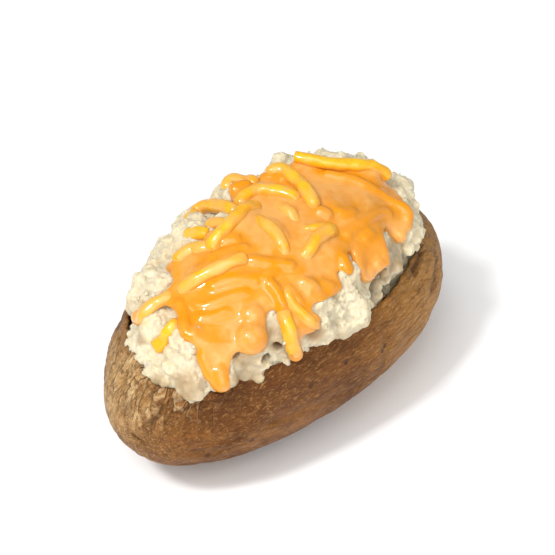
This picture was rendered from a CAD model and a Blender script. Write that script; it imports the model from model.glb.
"""Looks of a split baked potato: russet skin, fluffed flesh, cheese sauce and melted shreds.

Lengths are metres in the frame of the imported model: +X runs to the potato's pointed end, -Y to
the side where the sauce drips lowest, and the potato rests on z = 0. Places on top are given as
(along, across) in millimetres on the heap's surface unrolled flat from its crown.
"""

import logging
import math
import random
from collections.abc import Callable, Iterable, Sequence
from dataclasses import dataclass, field
from enum import Enum

import bmesh
import bpy
import numpy as np
from mathutils import Matrix, Vector, kdtree, noise
from mathutils.bvhtree import BVHTree


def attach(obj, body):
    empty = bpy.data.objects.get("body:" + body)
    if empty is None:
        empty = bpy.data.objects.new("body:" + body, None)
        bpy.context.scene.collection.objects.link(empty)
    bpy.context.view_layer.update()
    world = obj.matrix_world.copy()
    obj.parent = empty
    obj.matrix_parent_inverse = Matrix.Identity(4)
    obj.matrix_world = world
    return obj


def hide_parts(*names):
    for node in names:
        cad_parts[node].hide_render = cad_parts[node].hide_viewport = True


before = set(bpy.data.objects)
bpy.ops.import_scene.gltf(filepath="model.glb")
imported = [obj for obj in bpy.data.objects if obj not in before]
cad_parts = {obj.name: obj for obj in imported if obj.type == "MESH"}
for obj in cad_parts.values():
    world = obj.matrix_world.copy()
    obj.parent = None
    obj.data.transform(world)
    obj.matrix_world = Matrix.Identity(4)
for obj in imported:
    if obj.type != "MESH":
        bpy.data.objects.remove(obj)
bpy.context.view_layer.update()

LOG = logging.getLogger("baked_potato")
MM = 0.001
BODY = "root"

BREAK_DEPTHS = (0.66, 0.95)
CHUNK_WAVE = 0.10
CHUNK_WAVES_PER_RADIUS = 2.2
TIP_LEAST = 0.3
NOISE_SEED = 7

Place = tuple[float, float]
Triple = tuple[float, float, float]
Colour = Triple
# A number for each point of a piece.
Rule = Callable[[Vector], float]
# A strand's half width and half height at distances from its two tips.
Section = Callable[[float, float], tuple[float, float]]


class Slot(Enum):
    """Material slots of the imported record."""

    SKIN = "skin"
    FLESH = "flesh"
    SAUCE = "sauce"
    SHREDS = "shreds"


class End(Enum):
    """How far in from its tip a shred's end is rounded, in millimetres."""

    CUT = 0.6
    MELTED = 1.9
    DRAWN = 7.0


# ---- Shared forms --------------------------------------------------------------------------


def ease(low: float, high: float, value: float) -> float:
    """Share of the way from low to high, eased at both ends.

    Args:
        low: Value at which the share is 0.
        high: Value at which the share is 1; it may be below low.
        value: The value to place between them.

    Returns:
        A number from 0 to 1.
    """
    share = min(1.0, max(0.0, (value - low) / (high - low)))
    return share * share * (3 - 2 * share)


def smooth_route(corners: Sequence[Vector], spacing: float, closed: bool = False) -> list[Vector]:
    """Walk a smooth curve through corners.

    Args:
        corners: Points that the curve passes through.
        spacing: Distance between the points of the result.
        closed: Whether the curve runs back to its first corner.

    Returns:
        Points along the curve.
    """
    count = len(corners)
    points = []
    for span in range(count if closed else count - 1):
        around = [span + k if closed else min(max(span + k, 0), count - 1) for k in (-1, 0, 1, 2)]
        before, start, end, after = (corners[k % count] for k in around)
        steps = max(1, round((end - start).length / spacing))
        for step in range(steps):
            t = step / steps
            points.append(
                0.5 * (2 * start + (end - before) * t
                       + (2 * before - 5 * start + 4 * end - after) * t ** 2
                       + (3 * start - before - 3 * end + after) * t ** 3)
            )
    if not closed:
        points.append(corners[-1].copy())
    return points


def flat_route(places: Iterable[Place], spacing: float, closed: bool = False) -> list[Vector]:
    """A smooth curve, in metres on the unrolled heap, through places given in millimetres."""
    return smooth_route([Vector(place) * MM for place in places], spacing, closed)


@dataclass(frozen=True)
class PotatoForm:
    """The whole potato's smooth form, before it is split."""

    length: float = 135 * MM
    width: float = 76 * MM
    height: float = 58 * MM
    centre_z: float = 28.4 * MM
    blunt_power: float = 2.24
    pointed_power: float = 1.75
    width_taper: float = 0.18
    height_taper: float = -0.044
    bend: float = 1.5 * MM
    lump: float = 0.5 * MM
    lumps_per_radius: float = 1.6
    rim_z: float = 42.6 * MM
    rim_wave: float = 0.9 * MM
    rim_waves_per_metre: float = 42

    def girth(self, along: float) -> float:
        """Share of the full girth at a station from -1, the blunt end, to 1."""
        towards_point = (along + 1) / 2
        power = self.blunt_power * (1 - towards_point) + self.pointed_power * towards_point
        return max(0.0, 1 - abs(along) ** power) ** (1 / power)

    def point(self, direction: Vector, grow: float = 0.0) -> Vector:
        """Find the potato's surface.

        Args:
            direction: Unit direction on a ball whose x axis is the potato's.
            grow: How far outside the surface the point lies.

        Returns:
            The point, in metres.
        """
        u = max(-1.0, min(1.0, direction.x))
        girth = self.girth(u)
        around = math.hypot(direction.y, direction.z) or 1.0
        lump = self.lump * noise.noise(direction * self.lumps_per_radius) + grow
        half_width = self.width / 2 * (1 + self.width_taper * u) + lump
        half_height = self.height / 2 * (1 + self.height_taper * u) + lump
        return Vector((
            u * (self.length / 2 + grow),
            half_width * girth * direction.y / around - self.bend * u ** 2,
            half_height * girth * direction.z / around + self.centre_z,
        ))

    def rim(self, x: float, y: float) -> float:
        """Height of the skin's torn rim over a point of the floor."""
        return self.rim_z + self.rim_wave * noise.noise(
            Vector((x, y, 0)) * self.rim_waves_per_metre)


@dataclass(frozen=True)
class HeapForm:
    """The heap of flesh as a smooth dome, and the map unrolled from its crown."""

    centre: Vector = field(default_factory=lambda: Vector((-1, -3, 41)) * MM)
    half_length: float = 53 * MM
    half_width: float = 31 * MM
    rise: float = 29 * MM
    drop: float = 5 * MM
    power: float = 2.1
    outside: float = 100 * MM

    def direction(self, place: Vector) -> Vector:
        """Unit direction from the heap's centre to a place on the map, in metres."""
        turn = Vector((place.x / self.half_length, place.y / self.half_width))
        tilt = turn.length
        spread = math.sin(tilt) / tilt if tilt > 0 else 1.0
        return Vector((
            self.half_length * spread * turn.x,
            self.half_width * spread * turn.y,
            self.rise * math.cos(tilt),
        )).normalized()

    def towards(self, along: float, across: float) -> Vector:
        """Unit direction from the heap's centre to a place in millimetres."""
        return self.direction(Vector((along, across)) * MM)

    def tilted(self, tilt: float, turn: float) -> Vector:
        """Unit direction that is tilted away from the crown, after a turn about it."""
        return self.direction(Vector((tilt * math.cos(turn) * self.half_length,
                                      tilt * math.sin(turn) * self.half_width)))

    def place(self, point: Vector) -> Vector:
        """Place on the map, in metres, that lies over or under a point."""
        away = point - self.centre
        turn = Vector((away.x / self.half_length, away.y / self.half_width, away.z / self.rise))
        turn.normalize()
        side = math.hypot(turn.x, turn.y) or 1.0
        tilt = math.atan2(side, turn.z)
        return Vector((turn.x * self.half_length, turn.y * self.half_width)) * (tilt / side)

    def dome(self, direction: Vector) -> float:
        """Distance from the heap's centre to the smooth dome."""
        rise = self.rise if direction.z > 0 else self.drop
        return sum((
            abs(direction.x / self.half_length) ** self.power,
            abs(direction.y / self.half_width) ** self.power,
            abs(direction.z / rise) ** self.power,
        )) ** (-1 / self.power)

    def reach(self, food: BVHTree, direction: Vector) -> float:
        """Measure how far out the food reaches.

        Args:
            food: The surface to look for.
            direction: Unit direction from the heap's centre.

        Returns:
            Distance from the heap's centre to the outermost surface, or to the dome where the
            food has a gap.
        """
        start = self.centre + direction * self.outside
        distance = food.ray_cast(start, -direction, self.outside)[3]
        return self.dome(direction) if distance is None else self.outside - distance


# ---- Mesh helpers --------------------------------------------------------------------------


def object_from(name: str, shape: bmesh.types.BMesh) -> bpy.types.Object:
    """Put a finished bmesh into the scene, with smooth faces."""
    mesh = bpy.data.meshes.new(name)
    shape.to_mesh(mesh)
    shape.free()
    mesh.shade_smooth()
    item = bpy.data.objects.new(name, mesh)
    bpy.context.scene.collection.objects.link(item)
    return item


def dress(item: bpy.types.Object, material: bpy.types.Material, slot: Slot,
          *replaced: str) -> bpy.types.Object:
    """Give a piece its finish and its body.

    Args:
        item: The piece, in its place.
        material: Its finish.
        slot: The record's slot that the finish stands for.
        replaced: CAD nodes that the piece stands for.

    Returns:
        The same piece.
    """
    item.data.materials.append(material)
    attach(item, BODY)
    if replaced:
        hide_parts(*replaced)
    return item


def fused(shape: bmesh.types.BMesh, voxel: float) -> bmesh.types.BMesh:
    """Melt overlapping closed forms into one closed skin of even faces.

    Args:
        shape: The forms; it is used up.
        voxel: Width of the new faces.

    Returns:
        The new skin.
    """
    item = object_from("fusing", shape)
    modifier = item.modifiers.new("fuse", "REMESH")
    modifier.mode = "VOXEL"
    modifier.voxel_size = voxel
    bpy.context.view_layer.update()
    graph = bpy.context.evaluated_depsgraph_get()
    mesh = bpy.data.meshes.new_from_object(item.evaluated_get(graph))
    skin = bmesh.new()
    skin.from_mesh(mesh)
    bpy.data.objects.remove(item)
    bpy.data.meshes.remove(mesh)
    drop_specks(skin)
    return skin


def drop_specks(shape: bmesh.types.BMesh) -> None:
    """Delete every closed form but the one with the most vertices."""
    unseen = set(shape.verts)
    forms = []
    for vertex in shape.verts:
        if vertex not in unseen:
            continue
        unseen.remove(vertex)
        form = [vertex]
        for member in form:
            for edge in member.link_edges:
                other = edge.other_vert(member)
                if other in unseen:
                    unseen.remove(other)
                    form.append(other)
        forms.append(form)
    forms.sort(key=len)
    specks = [vertex for form in forms[:-1] for vertex in form]
    bmesh.ops.delete(shape, geom=specks, context="VERTS")


def relax(shape: bmesh.types.BMesh, rounds: int) -> None:
    """Even out a skin, which rounds its edges and hollows."""
    for _ in range(rounds):
        bmesh.ops.smooth_vert(shape, verts=shape.verts, factor=0.5,
                              use_axis_x=True, use_axis_y=True, use_axis_z=True)


def face_outwards(shape: bmesh.types.BMesh) -> None:
    """Turn every face of a closed form outwards."""
    bmesh.ops.recalc_face_normals(shape, faces=shape.faces)
    if shape.calc_volume(signed=True) < 0:
        bmesh.ops.reverse_faces(shape, faces=shape.faces)


def raise_surface(shape: bmesh.types.BMesh, height: Rule) -> None:
    """Move each vertex out along its normal by a height that depends on where it is."""
    shape.normal_update()
    moves = [vertex.normal * height(vertex.co) for vertex in shape.verts]
    for vertex, move in zip(shape.verts, moves):
        vertex.co += move


def paint(item: bpy.types.Object, **rules: Rule | float) -> None:
    """Store numbers for each vertex, which the finish reads as attributes.

    Args:
        item: The piece.
        rules: By attribute, the number itself or a rule that gives it for a vertex's place.
    """
    for name, rule in rules.items():
        layer = item.data.attributes.new(name, "FLOAT", "POINT")
        layer.data.foreach_set("value", [rule(vertex.co) if callable(rule) else rule
                                         for vertex in item.data.vertices])


def surface_of(*items: bpy.types.Object) -> BVHTree:
    """A search tree over the faces of several objects."""
    points, faces = [], []
    for item in items:
        first = len(points)
        points.extend(vertex.co.copy() for vertex in item.data.vertices)
        faces.extend([first + k for k in polygon.vertices] for polygon in item.data.polygons)
    return BVHTree.FromPolygons(points, faces)


def pour(part: bmesh.types.BMesh, shape: bmesh.types.BMesh) -> None:
    """Move all of one bmesh into another, and free the first."""
    mesh = bpy.data.meshes.new("part")
    part.to_mesh(mesh)
    part.free()
    shape.from_mesh(mesh)
    bpy.data.meshes.remove(mesh)


def point_tree(points: Sequence[Vector]) -> kdtree.KDTree:
    """A search tree over points, which gives back their indices."""
    tree = kdtree.KDTree(len(points))
    for index, point in enumerate(points):
        tree.insert(point, index)
    tree.balance()
    return tree


def add_chunk(shape: bmesh.types.BMesh, centre: Vector, radius: float, rng: random.Random,
              facets: int, detail: int, flatness: float) -> None:
    """Add one lump of cooked flesh: a slightly wavy ball cut by random flat breaks.

    Args:
        shape: Where the lump is added.
        centre: Its middle.
        radius: Its largest radius.
        rng: Source of its random breaks.
        facets: How many breaks it has.
        detail: Subdivisions of the ball.
        flatness: From 0, round, to 1, sharply broken.
    """
    breaks = []
    for _ in range(facets):
        tilt = rng.uniform(-1, 1)
        turn = rng.uniform(0, math.tau)
        level = math.sqrt(1 - tilt * tilt)
        normal = Vector((level * math.cos(turn), level * math.sin(turn), tilt))
        breaks.append((normal, rng.uniform(*BREAK_DEPTHS)))
    seed = Vector((rng.random(), rng.random(), rng.random())) * 50
    ball = bmesh.new()
    bmesh.ops.create_icosphere(ball, subdivisions=detail, radius=1)
    for vertex in ball.verts:
        way = vertex.co.normalized()
        cut = 1.0
        for normal, offset in breaks:
            facing = way.dot(normal)
            if facing * cut > offset:
                cut = offset / facing
        wave = CHUNK_WAVE * noise.noise(way * CHUNK_WAVES_PER_RADIUS + seed)
        size = 1 + (cut - 1) * flatness + wave
        vertex.co = centre + way * (radius * size)
    pour(ball, shape)


# ---- Finishes ------------------------------------------------------------------------------


class Board:
    """A node tree with short calls for the nodes that the finishes share."""

    def __init__(self, tree: bpy.types.NodeTree) -> None:
        """Take the tree to work on."""
        self.tree = tree

    def node(self, kind: str, **settings: object) -> bpy.types.Node:
        """A new node of a kind such as ShaderNodeMath, with its settings."""
        made = self.tree.nodes.new(kind)
        for name, value in settings.items():
            setattr(made, name, value)
        return made

    def feed(self, node: bpy.types.Node, **inputs: object) -> bpy.types.Node:
        """Set a node's inputs.

        Args:
            node: The node.
            inputs: A number, colour or socket for each input, by its name with _ for a space.

        Returns:
            The same node.
        """
        for name, value in inputs.items():
            target = node.inputs[name.replace("_", " ")]
            if isinstance(value, bpy.types.NodeSocket):
                self.tree.links.new(value, target)
            elif isinstance(value, tuple) and len(value) == 3 and target.type == "RGBA":
                target.default_value = (*value, 1.0)
            else:
                target.default_value = value
        return node

    def coordinates(self, stretch: Triple = (1, 1, 1)) -> bpy.types.NodeSocket:
        """Object coordinates, scaled along each axis."""
        where = self.node("ShaderNodeTexCoord").outputs["Object"]
        if stretch == (1, 1, 1):
            return where
        mapping = self.node("ShaderNodeMapping")
        self.feed(mapping, Vector=where, Scale=stretch)
        return mapping.outputs["Vector"]

    def grain(self, where: bpy.types.NodeSocket, scale: float, detail: float = 3.0,
              roughness: float = 0.5, distortion: float = 0.0) -> bpy.types.NodeSocket:
        """Cloudy noise from 0 to 1 with `scale` clouds to a metre."""
        made = self.feed(self.node("ShaderNodeTexNoise"), Vector=where, Scale=scale,
                         Detail=detail, Roughness=roughness, Distortion=distortion)
        return made.outputs["Fac"]

    def cells(self, where: bpy.types.NodeSocket, scale: float) -> bpy.types.NodeSocket:
        """Distance from the middle of a cell, with `scale` cells to a metre."""
        made = self.feed(self.node("ShaderNodeTexVoronoi"), Vector=where, Scale=scale)
        return made.outputs["Distance"]

    def spread(self, value: bpy.types.NodeSocket, low: float, high: float,
               to_low: float = 0.0, to_high: float = 1.0) -> bpy.types.NodeSocket:
        """A value's range stretched smoothly to another range and clipped to it."""
        made = self.node("ShaderNodeMapRange", interpolation_type="SMOOTHSTEP")
        self.feed(made, Value=value, From_Min=low, From_Max=high, To_Min=to_low, To_Max=to_high)
        return made.outputs["Result"]

    def maths(self, operation: str, first: object, second: object = 0.0) -> bpy.types.NodeSocket:
        """One step of arithmetic on numbers or sockets."""
        made = self.node("ShaderNodeMath", operation=operation)
        for socket, value in zip(made.inputs, (first, second)):
            if isinstance(value, bpy.types.NodeSocket):
                self.tree.links.new(value, socket)
            else:
                socket.default_value = value
        return made.outputs[0]

    def times(self, first: object, second: object) -> bpy.types.NodeSocket:
        """The product of two numbers or sockets."""
        return self.maths("MULTIPLY", first, second)

    def plus(self, first: object, second: object) -> bpy.types.NodeSocket:
        """The sum of two numbers or sockets."""
        return self.maths("ADD", first, second)

    def minus(self, first: object, second: object) -> bpy.types.NodeSocket:
        """The first number or socket less the second."""
        return self.maths("SUBTRACT", first, second)

    def larger(self, first: object, second: object) -> bpy.types.NodeSocket:
        """The larger of two numbers or sockets."""
        return self.maths("MAXIMUM", first, second)

    def blend(self, share: object, first: object, second: object) -> bpy.types.NodeSocket:
        """Two colours mixed.

        Args:
            share: Number or socket, from 0 for all of the first to 1 for all of the second.
            first: Colour or socket.
            second: Colour or socket.

        Returns:
            The mixed colour.
        """
        made = self.node("ShaderNodeMix", data_type="RGBA")
        for index, value in ((0, share), (6, first), (7, second)):
            socket = made.inputs[index]
            if isinstance(value, bpy.types.NodeSocket):
                self.tree.links.new(value, socket)
            else:
                socket.default_value = (*value, 1.0) if isinstance(value, tuple) else value
        return made.outputs[2]

    def painted(self, name: str) -> bpy.types.NodeSocket:
        """A number stored on the piece's vertices."""
        return self.node("ShaderNodeAttribute", attribute_name=name).outputs["Fac"]

    def relief(self, height: bpy.types.NodeSocket, depth: float,
               strength: float = 1.0) -> bpy.types.NodeSocket:
        """A normal bent by a height from 0 to 1 that stands for `depth` metres."""
        made = self.feed(self.node("ShaderNodeBump"), Height=height, Distance=depth,
                         Strength=strength)
        return made.outputs["Normal"]


class Mottle:
    """The shared node group that makes uneven patches: clouds broken up by finer clouds."""

    NAME = "mottle"
    FINER = 4.7
    SHARE_OF_FINE = 0.35

    @classmethod
    def group(cls) -> bpy.types.NodeTree:
        """The group, built the first time that it is asked for."""
        found = bpy.data.node_groups.get(cls.NAME)
        if found:
            return found
        tree = bpy.data.node_groups.new(cls.NAME, "ShaderNodeTree")
        for name, kind in (("Vector", "NodeSocketVector"), ("Scale", "NodeSocketFloat"),
                           ("Low", "NodeSocketFloat"), ("High", "NodeSocketFloat")):
            tree.interface.new_socket(name, in_out="INPUT", socket_type=kind)
        tree.interface.new_socket("Mask", in_out="OUTPUT", socket_type="NodeSocketFloat")
        board = Board(tree)
        entry = board.node("NodeGroupInput")
        leave = board.node("NodeGroupOutput")
        where, scale = entry.outputs["Vector"], entry.outputs["Scale"]
        broad = board.node("ShaderNodeTexNoise")
        board.feed(broad, Vector=where, Scale=scale, Detail=3.0)
        fine = board.node("ShaderNodeTexNoise")
        board.feed(fine, Vector=where, Detail=2.0, Scale=board.times(scale, cls.FINER))
        broken = board.plus(board.times(broad.outputs["Fac"], 1 - cls.SHARE_OF_FINE),
                            board.times(fine.outputs["Fac"], cls.SHARE_OF_FINE))
        clip = board.node("ShaderNodeMapRange", interpolation_type="SMOOTHSTEP")
        board.feed(clip, Value=broken, From_Min=entry.outputs["Low"],
                   From_Max=entry.outputs["High"])
        tree.links.new(clip.outputs["Result"], leave.inputs["Mask"])
        return tree

    @classmethod
    def on(cls, board: Board, where: bpy.types.NodeSocket, scale: float, low: float,
           high: float) -> bpy.types.NodeSocket:
        """Place the group in a finish.

        Args:
            board: The finish's board.
            where: Coordinates to read.
            scale: Patches to a metre.
            low: Cloud value at which the mask starts.
            high: Cloud value at which the mask is full.

        Returns:
            The mask.
        """
        made = board.node("ShaderNodeGroup", node_tree=cls.group())
        board.feed(made, Vector=where, Scale=scale, Low=low, High=high)
        return made.outputs["Mask"]


def new_finish(name: str) -> tuple[bpy.types.Material, Board, bpy.types.Node]:
    """Start a finish.

    Args:
        name: The material's name.

    Returns:
        The material, its board and its shader.
    """
    material = bpy.data.materials.new(name)
    material.use_nodes = True
    return material, Board(material.node_tree), material.node_tree.nodes["Principled BSDF"]


@dataclass(frozen=True)
class RussetSkin:
    """Baked russet skin: matt brown with tan ends, fibrous flecks, wrinkles and dark pits."""

    dark: Colour = (0.098, 0.029, 0.003)
    brown: Colour = (0.200, 0.071, 0.010)
    amber: Colour = (0.355, 0.148, 0.024)
    tan: Colour = (0.440, 0.235, 0.068)
    fleck: Colour = (0.430, 0.220, 0.068)
    pale_fleck: Colour = (0.780, 0.590, 0.330)
    pit: Colour = (0.045, 0.015, 0.004)
    scorch: Colour = (0.055, 0.019, 0.005)
    patches_per_metre: float = 48
    streaks_per_metre: float = 520
    fibres_per_metre: float = 1500
    pits_per_metre: float = 165
    hairlines_per_metre: float = 300
    folds_per_metre: float = 230
    fold_stretch: Triple = (0.7, 1.0, 0.22)
    crest_level: float = 0.56
    slant: Triple = (0.85, -0.5, -0.35)
    slant_wander: float = 0.007
    blunt_tan: tuple[float, float] = (-0.054, -0.078)
    blunt_sheen: tuple[float, float] = (-0.064, -0.078)
    pointed_amber: tuple[float, float] = (-0.012, 0.034)
    streak_strength: float = 0.7
    fleck_strength: float = 0.55
    pore_strength: float = 0.55
    pit_strength: float = 0.75
    hairline_strength: float = 0.20
    fold_strength: float = 0.48
    crest_strength: float = 0.36
    relief: float = 0.8 * MM

    def material(self) -> bpy.types.Material:
        """Build the finish."""
        material, board, shader = new_finish("russet_skin")
        here = board.coordinates()
        patches = Mottle.on(board, here, self.patches_per_metre, 0.40, 0.62)
        colour = board.blend(patches, self.dark, self.brown)
        colour, tan_end = self.weathered(board, colour)

        streak = board.grain(board.coordinates((0.10, 1.0, 1.0)), self.streaks_per_metre, 4.0, 0.6)
        streaks = board.spread(streak, 0.50, 0.66)
        colour = board.blend(board.times(streaks, self.streak_strength), colour, self.dark)
        fibre = board.grain(board.coordinates((0.24, 1.0, 1.0)), self.fibres_per_metre,
                            4.0, 0.7, 0.9)
        flecks = board.spread(fibre, 0.50, 0.66)
        colour = board.blend(board.times(flecks, self.fleck_strength), colour,
                             board.blend(tan_end, self.fleck, self.pale_fleck))
        pores = board.spread(fibre, 0.46, 0.36)
        colour = board.blend(board.times(pores, self.pore_strength), colour, self.dark)
        colour, cracks = self.wrinkled(board, colour)

        pits = board.spread(board.cells(here, self.pits_per_metre), 0.16, 0.06)
        thin_out = board.spread(board.grain(here, 90, 1.0), 0.45, 0.60)
        pits = board.times(pits, thin_out)
        colour = board.blend(board.times(pits, self.pit_strength), colour, self.pit)
        colour = board.blend(board.times(board.painted("fold"), 0.8), colour, self.scorch)

        height = board.plus(board.times(fibre, 0.55), board.times(streak, 0.75))
        height = board.minus(height, board.times(pits, 0.8))
        height = board.minus(height, board.times(cracks, 0.4))
        board.feed(shader, Base_Color=colour,
                   Roughness=board.spread(patches, 0.0, 1.0, 0.62, 0.50),
                   Normal=board.relief(height, self.relief), Specular_IOR_Level=0.2)
        return material

    def weathered(self, board: Board, colour: bpy.types.NodeSocket) -> tuple[
            bpy.types.NodeSocket, bpy.types.NodeSocket]:
        """Lighten the skin towards its ends, and brown it below the rim.

        Args:
            board: The finish's board.
            colour: The skin's colour so far.

        Returns:
            The new colour, and how far the skin is tan, from 0 to 1.
        """
        cloud = Mottle.on(board, board.coordinates((0.22, 1.0, 1.0)), 150, 0.44, 0.66)
        axis = board.feed(board.node("ShaderNodeSeparateXYZ"), Vector=board.coordinates())
        slant = board.times(cloud, -self.slant_wander)
        for name, share in zip("XYZ", self.slant):
            slant = board.plus(slant, board.times(axis.outputs[name], share))
        pointed = board.spread(axis.outputs["X"], *self.pointed_amber)
        colour = board.blend(board.larger(board.times(cloud, 0.45), pointed), colour, self.amber)
        tan_end = board.larger(board.times(board.spread(slant, *self.blunt_tan), 0.85),
                               board.times(pointed, 0.40))
        colour = board.blend(tan_end, colour, self.tan)
        sheen = board.spread(slant, *self.blunt_sheen)
        colour = board.blend(board.times(sheen, 0.25), colour, self.pale_fleck)
        return board.blend(board.times(board.painted("browned"), 0.7), colour, self.dark), tan_end

    def wrinkled(self, board: Board, colour: bpy.types.NodeSocket) -> tuple[
            bpy.types.NodeSocket, bpy.types.NodeSocket]:
        """Draw hairline cracks everywhere, and folds with pale crests where the skin gathers.

        Args:
            board: The finish's board.
            colour: The skin's colour so far.

        Returns:
            The new colour, and how deep the cracks are: 1 in a fold and below 0 on a crest.
        """
        gather = board.painted("gather")
        hairlines = self.lines(board, (0.13, 1.0, 1.0), self.hairlines_per_metre)
        folds = board.times(self.lines(board, self.fold_stretch, self.folds_per_metre), gather)
        crests = self.lines(board, self.fold_stretch, self.folds_per_metre, self.crest_level)
        crests = board.times(board.times(crests, gather), gather)
        colour = board.blend(board.times(crests, self.crest_strength), colour, self.pale_fleck)
        colour = board.blend(board.times(folds, self.fold_strength), colour, self.scorch)
        colour = board.blend(board.times(hairlines, self.hairline_strength), colour, self.scorch)
        return colour, board.minus(board.larger(folds, board.times(hairlines, 0.45)), crests)

    @staticmethod
    def lines(board: Board, stretch: Triple, scale: float,
              level: float = 0.5) -> bpy.types.NodeSocket:
        """Thin wandering lines, which run along the axis that is stretched least.

        Args:
            board: The finish's board.
            stretch: Scale of the pattern along each axis.
            scale: Clouds to a metre; a line runs round each.
            level: Height in the clouds that the lines follow.

        Returns:
            1 on a line and 0 off it.
        """
        cloud = board.grain(board.coordinates(stretch), scale, 2.5, 0.5, 0.7)
        return board.spread(board.maths("ABSOLUTE", board.minus(cloud, level)), 0.045, 0.0)


@dataclass(frozen=True)
class FluffedFlesh:
    """Fluffed potato flesh: pale dry crumbs, and wetter lumps that let light through."""

    bright: Colour = (0.655, 0.577, 0.412)
    cream: Colour = (0.610, 0.510, 0.335)
    wet: Colour = (0.345, 0.240, 0.125)
    stained: Colour = (0.680, 0.430, 0.120)
    hollow: Colour = (0.110, 0.045, 0.012)
    patches_per_metre: float = 100
    seeps_per_metre: float = 260
    crumbs_per_metre: float = 620
    powder_per_metre: float = 1500
    relief: float = 0.5 * MM

    def material(self) -> bpy.types.Material:
        """Build the finish."""
        material, board, shader = new_finish("fluffed_flesh")
        here = board.coordinates()
        patches = Mottle.on(board, here, self.patches_per_metre, 0.40, 0.60)
        colour = board.blend(patches, self.cream, self.bright)
        seep = board.spread(board.grain(here, self.seeps_per_metre), 0.35, 0.65, 0.65, 1.0)
        wet = board.times(board.painted("wet"), seep)
        colour = board.blend(wet, colour, self.wet)
        colour = board.blend(board.painted("stain"), colour, self.stained)
        colour = board.blend(board.painted("gap"), colour, self.hollow)
        crumbs = board.cells(here, self.crumbs_per_metre)
        powder = board.grain(here, self.powder_per_metre, 4.0, 0.6)
        height = board.plus(board.times(crumbs, -0.6), board.times(powder, 0.6))
        height = board.times(height, board.spread(wet, 0.0, 0.9, 1.0, 0.25))
        board.feed(shader, Base_Color=colour,
                   Roughness=board.spread(wet, 0.0, 1.0, 0.62, 0.30),
                   Normal=board.relief(height, self.relief, 0.8),
                   Subsurface_Weight=0.7, Subsurface_Radius=(1.0, 0.75, 0.45),
                   Subsurface_Scale=3.2 * MM, Specular_IOR_Level=0.4)
        return material


@dataclass(frozen=True)
class CheeseSauce:
    """Warm poured cheese sauce: a smooth satin blanket, deeper in colour over shreds."""

    pale: Colour = (0.730, 0.355, 0.088)
    deep: Colour = (0.680, 0.268, 0.032)
    shred: Colour = (0.680, 0.250, 0.001)
    patches_per_metre: float = 85
    ripples_per_metre: float = 210
    relief: float = 0.5 * MM

    def material(self) -> bpy.types.Material:
        """Build the finish."""
        material, board, shader = new_finish("cheese_sauce")
        here = board.coordinates()
        patches = Mottle.on(board, here, self.patches_per_metre, 0.38, 0.62)
        colour = board.blend(patches, self.deep, self.pale)
        colour = board.blend(board.painted("shred"), colour, self.shred)
        ripple = board.grain(here, self.ripples_per_metre, 2.0)
        board.feed(shader, Base_Color=colour,
                   Roughness=board.spread(patches, 0.0, 1.0, 0.42, 0.34),
                   Normal=board.relief(ripple, self.relief, 0.35),
                   Subsurface_Weight=0.3, Subsurface_Radius=(1.0, 0.5, 0.12),
                   Subsurface_Scale=2.0 * MM, Specular_IOR_Level=0.08,
                   Coat_Weight=0.75, Coat_Roughness=0.08)
        return material


@dataclass(frozen=True)
class MeltedShred:
    """A softened cheese shred: oily yellow orange, with sauce clinging low on its sides."""

    bright: Colour = (0.775, 0.420, 0.012)
    deep: Colour = (0.740, 0.290, 0.004)
    film: Colour = (0.770, 0.380, 0.080)
    patches_per_metre: float = 170
    ripples_per_metre: float = 420
    relief: float = 0.35 * MM

    def material(self) -> bpy.types.Material:
        """Build the finish."""
        material, board, shader = new_finish("melted_shred")
        here = board.coordinates()
        patches = Mottle.on(board, here, self.patches_per_metre, 0.36, 0.60)
        upper = board.times(board.spread(patches, 0, 1, 0.55, 1.0), board.painted("top"))
        colour = board.blend(upper, self.deep, self.bright)
        colour = board.blend(board.painted("film"), colour, self.film)
        ripple = board.grain(here, self.ripples_per_metre, 2.0)
        board.feed(shader, Base_Color=colour,
                   Roughness=board.spread(patches, 0.0, 1.0, 0.40, 0.30),
                   Normal=board.relief(ripple, self.relief, 0.45),
                   Subsurface_Weight=0.25, Subsurface_Radius=(1.0, 0.6, 0.12),
                   Subsurface_Scale=1.6 * MM, Specular_IOR_Level=0.15,
                   Coat_Weight=0.80, Coat_Roughness=0.08)
        return material


# ---- The skin ------------------------------------------------------------------------------


@dataclass(frozen=True)
class Crease:
    """One fold, dent or nick in the skin."""

    route: tuple[Triple, ...]
    depth: float
    width: float
    dark: float = 1.0


class CreaseMap:
    """Finds the crease that runs nearest to a point."""

    SPACING = 0.4 * MM

    def __init__(self, creases: Sequence[Crease]) -> None:
        """Lay points along every crease."""
        self.owners: list[Crease] = []
        points: list[Vector] = []
        for crease in creases:
            line = smooth_route([Vector(corner) * MM for corner in crease.route], self.SPACING)
            points.extend(line)
            self.owners.extend([crease] * len(line))
        self.tree = point_tree(points)

    def find(self, point: Vector) -> tuple[Crease, float]:
        """The nearest crease, and 1 on its line falling to 0 at its width."""
        _, index, away = self.tree.find(point)
        crease = self.owners[index]
        return crease, ease(crease.width, 0.0, away)


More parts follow.
